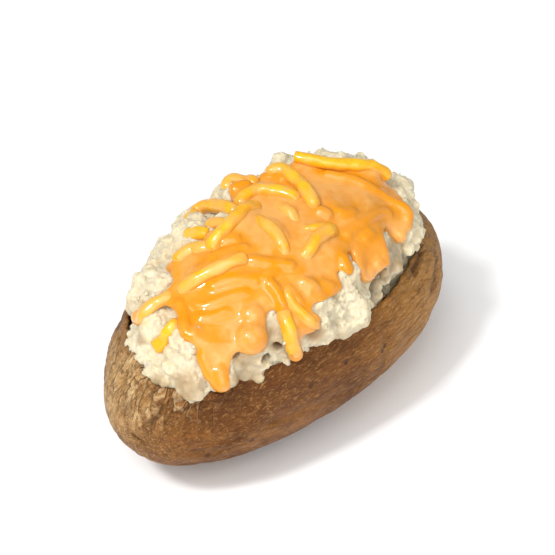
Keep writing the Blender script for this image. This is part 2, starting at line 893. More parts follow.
@dataclass
class Jacket:
    """The potato's skin with the flesh that clings to it, open where it was split."""

    form: PotatoForm = field(default_factory=PotatoForm)
    faces: tuple[int, int] = (288, 176)
    wall: float = 3.0 * MM
    lip_wall: float = 1.3 * MM
    lip_depth: float = 9 * MM
    tear: float = 0.7 * MM
    blunt_rise: float = 2.6 * MM
    dent: float = 0.55 * MM
    dent_size: float = 17 * MM
    wrinkle: float = 0.42 * MM
    wrinkle_size: float = 5.2
    wrinkled_patch: float = 21 * MM
    ripple: float = 0.16 * MM
    ripple_size: float = 1.9
    stretch: float = 3.6
    pleat: float = 0.45 * MM
    pleat_size: tuple[float, float] = (2.4, 9)
    pleats_mid: float = 0.05
    pleats_pointed: float = 0.4
    tear_size: float = 3.1
    creases: tuple[Crease, ...] = (
        Crease(((-66, 8, 35), (-64, 6, 39), (-61, 5, 42)), 1.3 * MM, 1.6 * MM),
        Crease(((-67, 2, 33), (-66, 1, 38), (-63, 0, 42)), 0.9 * MM, 1.3 * MM, 0.8),
        Crease(((-66, -4, 36), (-63, -5, 40.5), (-59, -7, 43)), 0.8 * MM, 1.3 * MM, 0.6),
        Crease(((-66, -7, 33), (-62, -11, 39), (-56, -15, 41.5), (-50, -20, 41)),
               0.9 * MM, 1.5 * MM, 0.9),
        Crease(((-62, -12, 35), (-55, -19, 36), (-46, -25, 36)), 1.6 * MM, 7.0 * MM, 0.25),
        Crease(((-67, -1.5, 27.8), (-67, -3.5, 27), (-67, -5.5, 26.3)), 0.9 * MM, 1.0 * MM),
        Crease(((40, -24, 41), (33, -29, 41), (27, -31, 41)), 1.0 * MM, 2.0 * MM),
        Crease(((45, -25, 37), (41, -30, 35), (33, -35, 33)), 0.7 * MM, 2.6 * MM, 0.4),
        Crease(((5, -38, 36), (4, -38.5, 30), (3, -38, 23)), 0.6 * MM, 2.6 * MM, 0.3),
        Crease(((-40, -28, 27), (-20, -35, 24), (5, -38, 20)), 0.6 * MM, 3.0 * MM, 0.25),
        Crease(((-60, -17, 24), (-45, -27, 18), (-25, -31, 14)), 0.7 * MM, 3.0 * MM, 0.25),
        Crease(((-38, 26, 38), (-45, 21, 40), (-50, 15, 41)), 0.9 * MM, 2.4 * MM, 0.7),
    )

    def __post_init__(self) -> None:
        """Map the creases."""
        self.map = CreaseMap(self.creases)

    def relief(self, point: Vector) -> float:
        """How far the skin stands out from the smooth form at a point of it, in metres."""
        along = Vector((point.x / self.stretch, point.y, point.z)) / MM
        height = self.dent * noise.noise(point / self.dent_size)
        ridge = 1 - abs(noise.noise(along / self.wrinkle_size)) * 2.6
        patch = ease(-0.25, 0.35,
                     noise.noise(point / self.wrinkled_patch + Vector((7, 1, 4))))
        height -= self.wrinkle * max(0.0, ridge) ** 2 * patch
        height += self.ripple * noise.noise(along / self.ripple_size)
        near_rim = ease(12 * MM, 1 * MM, self.below_rim(point))
        level, upright = self.pleat_size
        pleats = noise.noise(Vector((point.x / level, point.y / level, point.z / upright)) / MM)
        height += self.pleat * (near_rim + self.gather(point)) * pleats
        crease, nearness = self.map.find(point)
        return height - crease.depth * nearness

    def below_rim(self, point: Vector) -> float:
        """How far a point lies below the rim, in metres."""
        return self.form.rim(point.x, point.y) - point.z

    def fold(self, point: Vector) -> float:
        """How dark a crease makes the skin, from 0 to 1."""
        crease, nearness = self.map.find(point)
        return crease.dark * nearness

    def gather(self, point: Vector) -> float:
        """How far the skin is drawn into folds, from 0 to 1: most near the rim at its ends."""
        near_rim = ease(17 * MM, 3 * MM, self.below_rim(point))
        at_ends = max(ease(-46 * MM, -58 * MM, point.x),
                      self.pleats_pointed * ease(34 * MM, 46 * MM, point.x))
        return near_rim * max(self.pleats_mid, at_ends)

    def browned(self, point: Vector) -> float:
        """How far the skin is roasted darker, from 0 to 1: below the rim on the near side."""
        below = self.below_rim(point)
        band = ease(19 * MM, 9 * MM, below) * ease(-10 * MM, 2 * MM, below)
        along = ease(-62 * MM, -50 * MM, point.x) * ease(0, -26 * MM, point.x)
        return band * along * ease(-6 * MM, -16 * MM, point.y)

    def torn_rim(self, x: float, y: float) -> float:
        """Height of the torn edge, rougher than the rim of the smooth form."""
        place = Vector((x, y, 0)) / MM
        blunt = ease(-34 * MM, -56 * MM, x) * ease(-9 * MM, 4 * MM, y)
        return (self.form.rim(x, y) + self.blunt_rise * blunt
                + self.tear * noise.noise(place / self.tear_size))

    def direction_at_rim(self, direction: Vector) -> Vector:
        """Turn a direction round the potato's axis until it meets the torn edge.

        Args:
            direction: Unit direction just below the edge.

        Returns:
            The turned direction, or the same one where the potato ends below the edge.
        """
        u = direction.x
        level = math.sqrt(max(0.0, 1 - u * u))
        half_height = self.form.height / 2 * (1 + self.form.height_taper * u)
        top = half_height * self.form.girth(u)
        point = self.form.point(direction)
        rise = self.torn_rim(point.x, point.y) - self.form.centre_z
        if top <= 0 or rise >= top:
            return direction
        cosine = rise / top
        side = math.copysign(math.sqrt(1 - cosine * cosine), direction.y)
        return Vector((u, level * side, level * cosine))

    def build(self, material: bpy.types.Material) -> bpy.types.Object:
        """Build and dress the skin.

        Args:
            material: Its finish.

        Returns:
            The piece.
        """
        shape = bmesh.new()
        bmesh.ops.create_uvsphere(shape, u_segments=self.faces[0], v_segments=self.faces[1],
                                  radius=1)
        memory = shape.verts.layers.float_vector.new("direction")
        above = []
        for vertex in shape.verts:
            pole = vertex.co.normalized()
            direction = Vector((pole.z, pole.y, -pole.x))
            vertex[memory] = direction
            vertex.co = self.form.point(direction)
            if vertex.co.z > self.torn_rim(vertex.co.x, vertex.co.y):
                above.append(vertex)
        bmesh.ops.delete(shape, geom=above, context="VERTS")
        for vertex in shape.verts:
            if vertex.is_boundary:
                vertex[memory] = self.direction_at_rim(vertex[memory])
        outer = list(shape.verts)
        walls = bmesh.ops.extrude_face_region(shape, geom=shape.faces[:], use_keep_orig=True)
        inner = [item for item in walls["geom"] if isinstance(item, bmesh.types.BMVert)]
        for vertex in inner:
            below = self.below_rim(self.form.point(vertex[memory]))
            thick = self.lip_wall + (self.wall - self.lip_wall) * ease(0, self.lip_depth, below)
            vertex.co = self.form.point(vertex[memory], -thick)
            vertex.co.z = max(vertex.co.z, self.wall)
        for vertex in outer:
            direction = vertex[memory]
            smooth = self.form.point(direction)
            outward = (self.form.point(direction, MM) - smooth).normalized()
            place = smooth + outward * self.relief(smooth)
            vertex.co = (place.x, place.y, max(place.z, 0.0))
        face_outwards(shape)
        item = object_from("skin", shape)
        paint(item, fold=self.fold, gather=self.gather, browned=self.browned)
        return dress(item, material, Slot.SKIN, "potato_jacket")


# ---- The flesh -----------------------------------------------------------------------------


@dataclass(frozen=True)
class Scatter:
    """One size of lump strewn over the heap."""

    count: int
    radius: tuple[float, float]
    sink: float
    facets: int
    flatness: float


@dataclass
class Flesh:
    """The fluffed flesh: its core inside the skin, the lumpy heap and loose crumbs."""

    potato: PotatoForm = field(default_factory=PotatoForm)
    heap: HeapForm = field(default_factory=HeapForm)
    seed: int = 41
    voxel: float = 0.55 * MM
    core_faces: tuple[int, int] = (72, 44)
    core_wall: float = 3.3 * MM
    core_drop: float = 3 * MM
    dome_detail: int = 6
    dome_sink: float = 1.8 * MM
    dome_wave: float = 0.8 * MM
    dome_wave_size: float = 7 * MM
    clump_sink: float = 0.62
    clump_grow: float = 1.02
    clump_facets: int = 16
    clump_detail: int = 4
    clump_flatness: float = 0.9
    lumps: tuple[Scatter, ...] = (
        Scatter(200, (3.0 * MM, 5.5 * MM), 0.74, 12, 0.92),
        Scatter(260, (1.4 * MM, 2.8 * MM), 0.58, 9, 0.80),
    )
    lump_detail: int = 3
    lump_tilt: float = 1.66
    chip: float = 2.7 * MM
    chip_rise: float = 0.45 * MM
    chip_tilt: float = 0.36
    chip_bend: float = 0.35
    chip_bend_size: float = 0.6
    chip_groove: float = 0.10
    fine_chip: float = 0.5
    fine_share: float = 0.6
    rough: float = 0.30 * MM
    rough_size: float = 3.1 * MM
    wet_smoothing: float = 0.8
    wet_low: float = 0.2
    stain_strength: float = 0.6
    gap_depth: float = 4.5 * MM
    crumbs: int = 60
    crumb_radius: tuple[float, float] = (0.35 * MM, 0.8 * MM)
    crumb_tilt: tuple[float, float] = (0.4, 1.25)
    crumb_rise: float = 0.35
    clumps: tuple[Triple, ...] = (
        (-47, 18, 8), (-65, 9, 6.5), (-78, -1, 6.5), (-65, -7, 7.5), (-75, -14, 5),
        (-61, -27, 6), (-53, -25, 5), (-40, -29, 6), (-24, -35, 7), (-8, -41, 9.5),
        (-2, -32, 6), (22, -34, 7), (46, -27, 9), (60, -14, 9), (39, -2, 9), (28, 7, 7),
        (15, 8, 6), (1, 19, 8), (-19, 9, 6), (-27, 18, 9), (-31, 24, 7), (-56, 24, 7),
        (-74, 16, 6.5), (-46, 33, 8), (-30, 34, 7), (-13, 30, 8), (-5, 42, 8), (10, 30, 8),
        (18, 43, 8), (30, 20, 8), (38, 34, 8), (50, 20, 9), (54, 4, 8), (67, 2, 8),
        (-64, 36, 6), (-26, 48, 7), (58, 34, 6),
    )
    spills: tuple[tuple[float, float, float, float], ...] = (
        (-72, 15, 4.2, -0.4), (-77, 6, 4.6, 0.4), (-79, -4, 4.6, 1.3), (-75, -14, 4.8, 1.4),
        (-68, -22, 4.2, 0.8), (-83, 1, 4.4, 1.8), (-80, 11, 4.2, 0.0), (-79, -13, 4.4, 1.6),
        (-83, -7, 4.2, 1.8),
    )
    wet_spots: tuple[Triple, ...] = (
        (-75, -14, 8), (-80, -4, 6), (-62, -30, 9), (-53, -25, 8), (-40, -29, 8),
        (-28, -36, 6), (22, -34, 8), (14, -36, 6), (-66, 10, 4), (-30, -28, 6),
    )
    stain_spots: tuple[Triple, ...] = (
        (-58, 14, 8), (-66, 2, 6), (-47, -2, 5),
    )
    gap_spots: tuple[Triple, ...] = (
        (12, -42, 5), (22, -44, 6), (32, -44, 6), (43, -39, 6), (-49, -31, 1.8),
        (-42, -31, 2.2), (11, -37, 2.5),
    )

    def clump_balls(self) -> list[tuple[Vector, float]]:
        """Centre, from the heap's centre, and radius of each clump."""
        balls = []
        for along, across, radius in self.clumps:
            direction = self.heap.towards(along, across)
            reach = self.heap.dome(direction) - self.clump_sink * radius * MM
            balls.append((direction * reach, radius * MM))
        for along, across, radius, out in self.spills:
            direction = self.heap.towards(along, across)
            balls.append((direction * (self.heap.dome(direction) + out * MM), radius * MM))
        return balls

    def reach(self, direction: Vector, balls: Sequence[tuple[Vector, float]]) -> float:
        """Distance from the heap's centre to the outermost of the dome and the clumps."""
        radius = self.heap.dome(direction) - self.dome_sink
        for centre, size in balls:
            middle = centre.dot(direction)
            inside = middle ** 2 - centre.length_squared + size ** 2
            if middle > 0 and inside > 0:
                radius = max(radius, middle + math.sqrt(inside))
        return radius

    def near_spot(self, place: Vector, spots: Sequence[Triple]) -> float:
        """1 in the middle of the nearest spot, 0 outside them all."""
        best = 0.0
        for along, across, radius in spots:
            away = math.hypot(place.x / MM - along, place.y / MM - across)
            if away < radius:
                best = max(best, ease(radius, 0.35 * radius, away))
        return best

    def wetness(self, point: Vector) -> float:
        """How wet and clear the flesh is, from 0 to 1."""
        place = self.heap.place(point)
        low = self.wet_low * ease(46 * MM, 40 * MM, point.z)
        return max(low, self.near_spot(place, self.wet_spots))

    def stain(self, point: Vector) -> float:
        """How much the cheese has coloured the flesh, from 0 to 1."""
        uneven = ease(-0.3, 0.4, noise.noise(point / (3 * MM)))
        spot = self.near_spot(self.heap.place(point), self.stain_spots)
        return self.stain_strength * uneven * spot

    def gap(self, point: Vector) -> float:
        """How far into a gap between clumps a point lies, from 0 to 1."""
        return self.near_spot(self.heap.place(point), self.gap_spots)

    def chips(self, point: Vector, size: float) -> float:
        """Relief of crumbs that lie tilted and unevenly deep, each a cell of the given size.

        Args:
            point: A point on the heap.
            size: Width of a crumb, in metres.

        Returns:
            The height, in metres.
        """
        bend = noise.noise_vector(point / (self.chip_bend_size * size))
        bent = point / size + self.chip_bend * bend
        distances, middles = noise.voronoi(bent)
        lean = noise.noise_vector(middles[0] * 7.3)
        height = noise.noise(middles[0] * 5.1) * self.chip_rise
        height += lean.dot(bent - middles[0]) * self.chip_tilt * size
        groove = ease(0.22, 0.0, distances[1] - distances[0])
        return height - self.chip_groove * size * groove

    def crumble(self, point: Vector) -> float:
        """Height of the crumbly surface over the smooth lumps."""
        dry = 1 - self.wet_smoothing * self.wetness(point)
        rough = self.rough * noise.noise(point / self.rough_size)
        fine = self.fine_share * self.chips(point, self.fine_chip * self.chip)
        return (dry * (rough + self.chips(point, self.chip) + fine)
                - self.gap(point) * self.gap_depth)

    def build_core(self, material: bpy.types.Material) -> bpy.types.Object:
        """Build and dress the flesh inside the skin."""
        shape = bmesh.new()
        bmesh.ops.create_uvsphere(shape, u_segments=self.core_faces[0],
                                  v_segments=self.core_faces[1], radius=1)
        top = self.potato.rim_z - self.core_drop
        for vertex in shape.verts:
            pole = vertex.co.normalized()
            point = self.potato.point(Vector((pole.z, pole.y, -pole.x)), -self.core_wall)
            vertex.co = (point.x, point.y, min(max(point.z, self.core_wall), top))
        face_outwards(shape)
        item = object_from("flesh_core", shape)
        paint(item, wet=0.3, stain=0.0, gap=0.0)
        return dress(item, material, Slot.FLESH)

    def build_heap(self, material: bpy.types.Material) -> bpy.types.Object:
        """Build and dress the heap.

        Args:
            material: Its finish.

        Returns:
            The piece.
        """
        rng = random.Random(self.seed)
        balls = self.clump_balls()
        shape = bmesh.new()
        bmesh.ops.create_icosphere(shape, subdivisions=self.dome_detail, radius=1)
        for vertex in shape.verts:
            direction = vertex.co.normalized()
            radius = self.heap.dome(direction) - self.dome_sink
            radius += self.dome_wave * noise.noise(direction * radius / self.dome_wave_size)
            vertex.co = self.heap.centre + direction * radius
        for centre, radius in balls:
            add_chunk(shape, self.heap.centre + centre, radius * self.clump_grow, rng,
                      self.clump_facets, self.clump_detail, self.clump_flatness)
        for lump in self.lumps:
            for _ in range(lump.count):
                tilt = math.sqrt(rng.uniform(0.02, 1.0)) * self.lump_tilt
                direction = self.heap.tilted(tilt, rng.uniform(0, math.tau))
                radius = rng.uniform(*lump.radius)
                reach = self.reach(direction, balls) - lump.sink * radius
                centre = self.heap.centre + direction * reach
                add_chunk(shape, centre, radius, rng, lump.facets, self.lump_detail,
                          lump.flatness)
        shape = fused(shape, self.voxel)
        relax(shape, 1)
        raise_surface(shape, self.crumble)
        item = object_from("flesh_heap", shape)
        paint(item, wet=self.wetness, stain=self.stain, gap=self.gap)
        return dress(item, material, Slot.FLESH, "potato_flesh")

    def build_crumbs(self, surface: BVHTree, material: bpy.types.Material) -> bpy.types.Object:
        """Scatter loose crumbs over the heap.

        Args:
            surface: The heap.
            material: Their finish.

        Returns:
            The piece.
        """
        rng = random.Random(self.seed + 1)
        shape = bmesh.new()
        for _ in range(self.crumbs):
            tilt = rng.uniform(*self.crumb_tilt)
            direction = self.heap.tilted(tilt, rng.uniform(0, math.tau))
            radius = rng.uniform(*self.crumb_radius)
            centre = self.heap.centre + direction * (
                self.heap.reach(surface, direction) + self.crumb_rise * radius)
            crumb = bmesh.new()
            bmesh.ops.create_icosphere(crumb, subdivisions=1, radius=radius)
            for vertex in crumb.verts:
                vertex.co = centre + vertex.co * rng.uniform(0.7, 1.25)
            pour(crumb, shape)
        item = object_from("loose_crumbs", shape)
        paint(item, wet=0.0, stain=0.0, gap=0.0)
        return dress(item, material, Slot.FLESH)


# ---- Strands -------------------------------------------------------------------------------


@dataclass
class Strand:
    """A centre line over the heap, with the direction that is outward at each of its points."""

    line: list[Vector]
    outward: list[Vector]

    SAG = 0.2 * MM
    UNEVEN_SIZE = 3.4 * MM

    @classmethod
    def laid(cls, route: Sequence[Vector], heap: HeapForm, food: Sequence[BVHTree],
             rise: float, stiffness: int) -> "Strand":
        """Lay a line on the food.

        Args:
            route: Points on the unrolled heap, in metres.
            heap: The heap's map.
            food: Surfaces that the strand lies on.
            rise: Height of the centre line over them.
            stiffness: Rounds of smoothing; a stiffer strand bridges wider hollows.

        Returns:
            The strand.
        """
        outward = [heap.direction(place) for place in route]
        reach = [max(heap.reach(layer, way) for layer in food) + rise for way in outward]
        for _ in range(stiffness):
            even = [reach[max(k - 1, 0)] / 4 + reach[k] / 2 + reach[min(k + 1, len(reach) - 1)] / 4
                    for k in range(len(reach))]
            reach = [max(smooth, near - cls.SAG) for smooth, near in zip(even, reach)]
        return cls([heap.centre + way * far for way, far in zip(outward, reach)], outward)

    def bury(self, reach: float, depth: float, ends: tuple[bool, bool]) -> None:
        """Let ends of the strand dip into what lies under them.

        Args:
            reach: Length of strand that dips.
            depth: How far the tip goes down.
            ends: Whether the first and the last end dip.
        """
        for index, order in enumerate((1, -1)):
            if not ends[index]:
                continue
            gone, before = 0.0, None
            for k in range(len(self.line))[::order]:
                gone += (self.line[k] - before).length if before else 0.0
                before = self.line[k].copy()
                self.line[k] = self.line[k] - self.outward[k] * depth * ease(reach, 0, gone)

    def draw(self, shape: bmesh.types.BMesh, size: Section, sides: int = 16,
             uneven: float = 0.0) -> None:
        """Add the strand as a closed rod bent along the line.

        Args:
            shape: Where the rod is added.
            size: Half width and half height for a distance from each of the strand's two tips.
            sides: Faces round the rod.
            uneven: How far its surface wanders.
        """
        reached = [0.0]
        for start, end in zip(self.line, self.line[1:]):
            reached.append(reached[-1] + (end - start).length)
        last = len(self.line) - 1
        rod = bmesh.new()
        bmesh.ops.create_cone(rod, cap_ends=True, segments=sides, radius1=1, radius2=1,
                              depth=last)
        lengthwise = [edge for edge in rod.edges
                      if abs(edge.verts[0].co.z - edge.verts[1].co.z) > 0.5]
        bmesh.ops.subdivide_edges(rod, edges=lengthwise, cuts=last - 1, use_grid_fill=True)
        for vertex in rod.verts:
            index = round(vertex.co.z + last / 2)
            tangent = self.line[min(index + 1, last)] - self.line[max(index - 1, 0)]
            side = tangent.cross(self.outward[index]).normalized()
            top = side.cross(tangent).normalized()
            half_width, half_height = size(reached[index], reached[-1] - reached[index])
            vertex.co = (self.line[index] + side * (vertex.co.x * half_width)
                         + top * (vertex.co.y * half_height))
            vertex.co += noise.noise_vector(vertex.co / self.UNEVEN_SIZE) * uneven
        pour(rod, shape)


def tip_share(distance: float, rounding: float) -> float:
    """Share of its full width that a strand has at a distance from its tip."""
    share = 1 - min(1.0, distance / rounding)
    return max(TIP_LEAST, math.sqrt(1 - share * share))


def round_section(radius: float, rounding: float) -> Section:
    """Make the rule for a round strand's thickness, with both tips rounded.

    Args:
        radius: Its radius away from the tips.
        rounding: How far in from a tip the rounding starts.

    Returns:
        A function of the distances from the two tips.
    """
    def size(near: float, far: float) -> tuple[float, float]:
        """Half width and half height at distances from the two tips."""
        return (radius * tip_share(min(near, far), rounding),) * 2
    return size


# ---- The sauce -----------------------------------------------------------------------------


@dataclass(frozen=True)
class Ridge:
    """A shred that the sauce has covered: where it lies and how far it shows through."""

    places: tuple[Place, ...]
    proud: float = 1.0
    colour: float = 0.8


@dataclass
class Sauce:
    """The poured sauce: a thick blanket with drips, swollen over the shreds under it."""

    heap: HeapForm = field(default_factory=HeapForm)
    thickness: float = 2.3 * MM
    uneven: float = 0.25
    uneven_size: float = 9 * MM
    edge: float = 1.0 * MM
    rounding: float = 3.0 * MM
    overlap: float = 1.6 * MM
    least: float = 0.5 * MM
    least_share: float = 0.45
    cell: float = 0.8 * MM
    smoothing: float = 3.2 * MM
    border_spacing: float = 0.4 * MM
    strand_spacing: float = 0.8 * MM
    voxel: float = 0.5 * MM
    evening: int = 6
    ridge_radius: float = 2.0 * MM
    ridge_rise: float = 1.05 * MM
    ridge_rounding: float = 1.8 * MM
    ridge_stiffness: int = 4
    ridge_sides: int = 10
    ridge_top: float = 0.8
    bank_radius: float = 5.2 * MM
    bank_rise: float = 0.8 * MM
    bank_rounding: float = 5.0 * MM
    bank_stiffness: int = 2
    bank_sides: int = 12
    bulb_sink: float = 0.74
    bulb_detail: int = 3
    shred_reach: tuple[float, float] = (4.2 * MM, 1.6 * MM)
    melted_strength: float = 0.85
    outline: tuple[Place, ...] = (
        (-61, 13), (-61, 17), (-58, 20), (-55, 18), (-51, 14), (-48, 11), (-45, 9), (-41, 9),
        (-38, 11), (-36, 14), (-33, 14), (-30, 9), (-27, 8), (-22, 8), (-18, 6), (-13, 6),
        (-8, 10), (-5, 14), (-2, 16), (3, 15), (9, 13), (15, 10), (20, 6), (25, 1), (29, -4),
        (34, -8), (40, -12), (42, -17), (38, -23), (35, -27), (32, -32), (29, -29), (25, -26),
        (19, -27), (16, -31), (14, -34), (10, -37), (5, -37), (1, -34), (2, -29), (4, -26),
        (1, -26), (-2, -30), (-5, -30), (-4, -26), (-7, -28), (-9, -32), (-14, -32),
        (-20, -30), (-23, -30), (-24, -34), (-28, -36), (-33, -35), (-37, -39), (-41, -41),
        (-42, -38), (-38, -32), (-35, -26), (-33, -23), (-36, -22), (-39, -24), (-42, -27),
        (-46, -27), (-50, -24), (-54, -22), (-58, -23), (-62, -25), (-66, -26), (-69, -24),
        (-68, -20), (-65, -16), (-60, -12), (-57, -7), (-56, -2), (-53, 3), (-52, 7),
        (-56, 10), (-59, 11),
    )
    bulbs: tuple[Triple, ...] = (
        (-66, -23, 3.4), (-63, -21, 3.0), (-40, -38, 2.4), (7, -34, 3.4), (11, -33, 3.0),
        (31, -30, 2.2), (-3, -28, 2.0), (-47, -23, 5.0), (-41, -19, 4.5),
        (-14, -30, 2.2), (38, -20, 2.6), (34, -26, 2.4), (-59, 17, 2.4), (-25, -33, 2.0),
        (-36, 12, 2.0), (-20, -26, 2.2),
    )
    melted_spots: tuple[Triple, ...] = (
        (-54, -12, 8), (-60, -18, 7), (-28, -24, 8), (-35, -31, 7), (-39, -37, 5),
        (-20, -12, 8), (34, -20, 6), (-44, -12, 7), (-36, -10, 8), (-28, -12, 8),
        (-50, -4, 7), (-60, -25, 5),
    )
    ridges: tuple[Ridge, ...] = (
        Ridge(((20, 0), (23, -6), (27, -12), (32, -17), (34, -22), (34, -27)), 1.3, 0.95),
        Ridge(((6, 12), (9, 9), (9, 4)), 1.5, 1.0),
        Ridge(((-4, 14), (-1, 13), (2, 11)), 1.2, 1.0),
        Ridge(((-25, 3), (-22, 1), (-20, -2)), 1.5, 1.0),
        Ridge(((-32, 2), (-28, 0), (-24, -3), (-21, -6)), 1.3, 0.9),
        Ridge(((-25, -7), (-23, -11), (-20, -15), (-17, -19)), 1.3, 1.0),
        Ridge(((8, -13), (11, -16), (16, -17)), 0.9, 0.9),
        Ridge(((4, -21), (8, -21), (15, -21), (24, -21), (29, -23)), 1.2, 0.9),
        Ridge(((9, -25), (12, -25), (16, -25)), 0.9, 0.8),
        Ridge(((3, -10), (5, -12), (5, -15)), 1.6, 0.5),
        Ridge(((-41, -3), (-35, -7), (-31, -11), (-29, -15)), 0.8, 0.9),
        Ridge(((-48, 0), (-47, -5), (-43, -8), (-38, -11), (-33, -14)), 0.5, 1.0),
        Ridge(((-38, -4), (-33, -8), (-27, -14), (-22, -15), (-17, -17)), 0.8, 1.0),
        Ridge(((-48, 4), (-52, -1), (-56, -6), (-60, -12), (-64, -17), (-67, -21)), 1.2, 1.0),
        Ridge(((-52, -5), (-48, -10), (-42, -13)), 0.4, 1.0),
        Ridge(((-27, -15), (-28, -20), (-31, -25)), 1.3, 1.0),
        Ridge(((-16, -26), (-13, -29), (-11, -31)), 1.1, 0.9),
        Ridge(((-20, -22), (-18, -25), (-17, -28)), 1.2, 0.5),
        Ridge(((-24, -20), (-25, -24), (-25, -28)), 1.2, 0.8),
        Ridge(((-5, -29), (-3, -27), (-1, -24)), 0.9, 1.0),
        Ridge(((-39, 16), (-37, 13), (-40, 10), (-43, 9)), 0.9, 0.7),
    )

    def levels(self, food: BVHTree, low: Vector, counts: tuple[int, int]) -> tuple[
            np.ndarray, np.ndarray]:
        """Measure the food under the blanket on an even grid of the map.

        Args:
            food: The heap and the skin.
            low: The grid's first place, in metres.
            counts: Grid points along and across.

        Returns:
            The food's reach at each point, and the same smoothed so that hollows are bridged.
        """
        raw = np.array([[self.heap.reach(food, self.heap.direction(
            low + Vector((i, j)) * self.cell)) for j in range(counts[1])]
            for i in range(counts[0])])
        spread = self.smoothing / self.cell
        offsets = np.arange(-round(2.5 * spread), round(2.5 * spread) + 1)
        weights = np.exp(-0.5 * (offsets / spread) ** 2)
        weights /= weights.sum()
        smooth = raw
        for axis in (0, 1):
            smooth = np.apply_along_axis(
                lambda row: np.convolve(np.pad(row, len(offsets) // 2, mode="edge"), weights,
                                        mode="valid"), axis, smooth)
        return raw, smooth

    def blanket(self, shape: bmesh.types.BMesh, food: BVHTree) -> None:
        """Add the poured blanket as a closed slab sunk a little in the food.

        Args:
            shape: Where the slab is added.
            food: The heap and the skin.
        """
        border = flat_route(self.outline, self.border_spacing, closed=True)
        tree = point_tree([place.to_3d() for place in border])
        margin = 2 * self.cell
        low = Vector((min(p.x for p in border) - margin, min(p.y for p in border) - margin))
        high = Vector((max(p.x for p in border) + margin, max(p.y for p in border) + margin))
        counts = (round((high.x - low.x) / self.cell) + 1, round((high.y - low.y) / self.cell) + 1)
        raw, smooth = self.levels(food, low, counts)
        corners = np.array([(p.x, p.y) for p in border])
        following = np.roll(corners, -1, axis=0)
        depth = shape.verts.layers.float.new("depth")
        grid = bmesh.ops.create_grid(shape, x_segments=counts[0] - 1, y_segments=counts[1] - 1,
                                     size=1)["verts"]
        outside = []
        for vertex in grid:
            i = round((vertex.co.x + 1) / 2 * (counts[0] - 1))
            j = round((vertex.co.y + 1) / 2 * (counts[1] - 1))
            place = low + Vector((i, j)) * self.cell
            crossed = (corners[:, 1] > place.y) != (following[:, 1] > place.y)
            a, b = corners[crossed], following[crossed]
            at = a[:, 0] + (place.y - a[:, 1]) * (b[:, 0] - a[:, 0]) / (b[:, 1] - a[:, 1])
            nearest, _, away = tree.find(place.to_3d())
            if np.count_nonzero(at > place.x) % 2 == 0:
                if away > 0.75 * self.cell:
                    outside.append(vertex)
                    continue
                place, away = nearest.to_2d(), 0.0
            share = 1 - min(1.0, away / self.rounding)
            wave = self.uneven * noise.noise(place.to_3d() / self.uneven_size)
            full = self.thickness * (1 + wave)
            rise = self.edge + (full - self.edge) * math.sqrt(1 - share * share)
            level = max(smooth[i, j] + rise, raw[i, j] + max(self.least, self.least_share * rise))
            direction = self.heap.direction(place)
            vertex.co = self.heap.centre + direction * level
            vertex[depth] = level - raw[i, j] + self.overlap
        bmesh.ops.delete(shape, geom=outside, context="VERTS")
        slab = bmesh.ops.extrude_face_region(shape, geom=shape.faces[:], use_keep_orig=True)
        for item in slab["geom"]:
            if isinstance(item, bmesh.types.BMVert):
                item.co -= (item.co - self.heap.centre).normalized() * item[depth]
        face_outwards(shape)

    def shred_share(self, point: Vector, tree: kdtree.KDTree, shares: Sequence[float]) -> float:
        """How much melted shreds colour the sauce at a point, from 0 to 1."""
        _, index, away = tree.find(point)
        uneven = 0.75 + 0.25 * ease(-0.35, 0.35, noise.noise(point / (3.5 * MM)))
        share = shares[index] * ease(*self.shred_reach, away)
        place = self.heap.place(point) / MM
        patchy = ease(-0.25, 0.2, noise.noise(point / (4.5 * MM)))
        for along, across, radius in self.melted_spots:
            away = math.hypot(place.x - along, place.y - across)
            spot = patchy * ease(radius, 0.3 * radius, away)
            share = max(share, self.melted_strength * spot)
        return uneven * share

    def build(self, food: BVHTree, beds: Sequence[Sequence[Place]],
              material: bpy.types.Material) -> bpy.types.Object:
        """Build and dress the sauce.

        Args:
            food: The heap and the skin.
            beds: Routes of the shreds that lie on the sauce, which it climbs a little.
            material: Its finish.

        Returns:
            The piece.
        """
        shape = bmesh.new()
        self.blanket(shape, food)
        slab = object_from("poured_blanket", shape)
        surface = surface_of(slab)
        shape = bmesh.new()
        shape.from_mesh(slab.data)
        bpy.data.objects.remove(slab)
        tree, shares = self.add_ridges(shape, surface)
        self.add_banks(shape, surface, beds)
        self.add_bulbs(shape, surface)
        shape = fused(shape, self.voxel)
        relax(shape, self.evening)
        item = object_from("poured_sauce", shape)
        paint(item, shred=lambda point: self.shred_share(point, tree, shares))
        return dress(item, material, Slot.SAUCE, "cheese_sauce")

    def add_ridges(self, shape: bmesh.types.BMesh, surface: BVHTree) -> tuple[
            kdtree.KDTree, list[float]]:
        """Swell the blanket over the shreds that it covers.

        Args:
            shape: Where the ridges are added.
            surface: The blanket.

        Returns:
            A search tree over points in the ridges, and how strongly each colours the sauce.
        """
        section = round_section(self.ridge_radius, self.ridge_rounding)
        spots, shares = [], []
        for ridge in self.ridges:
            strand = Strand.laid(flat_route(ridge.places, self.strand_spacing), self.heap,
                                 [surface], ridge.proud * self.ridge_rise - self.ridge_radius,
                                 self.ridge_stiffness)
            strand.draw(shape, section, self.ridge_sides)
            spots.extend(point + way * self.ridge_radius * self.ridge_top
                         for point, way in zip(strand.line, strand.outward))
            shares.extend([ridge.colour] * len(strand.line))
        return point_tree(spots), shares

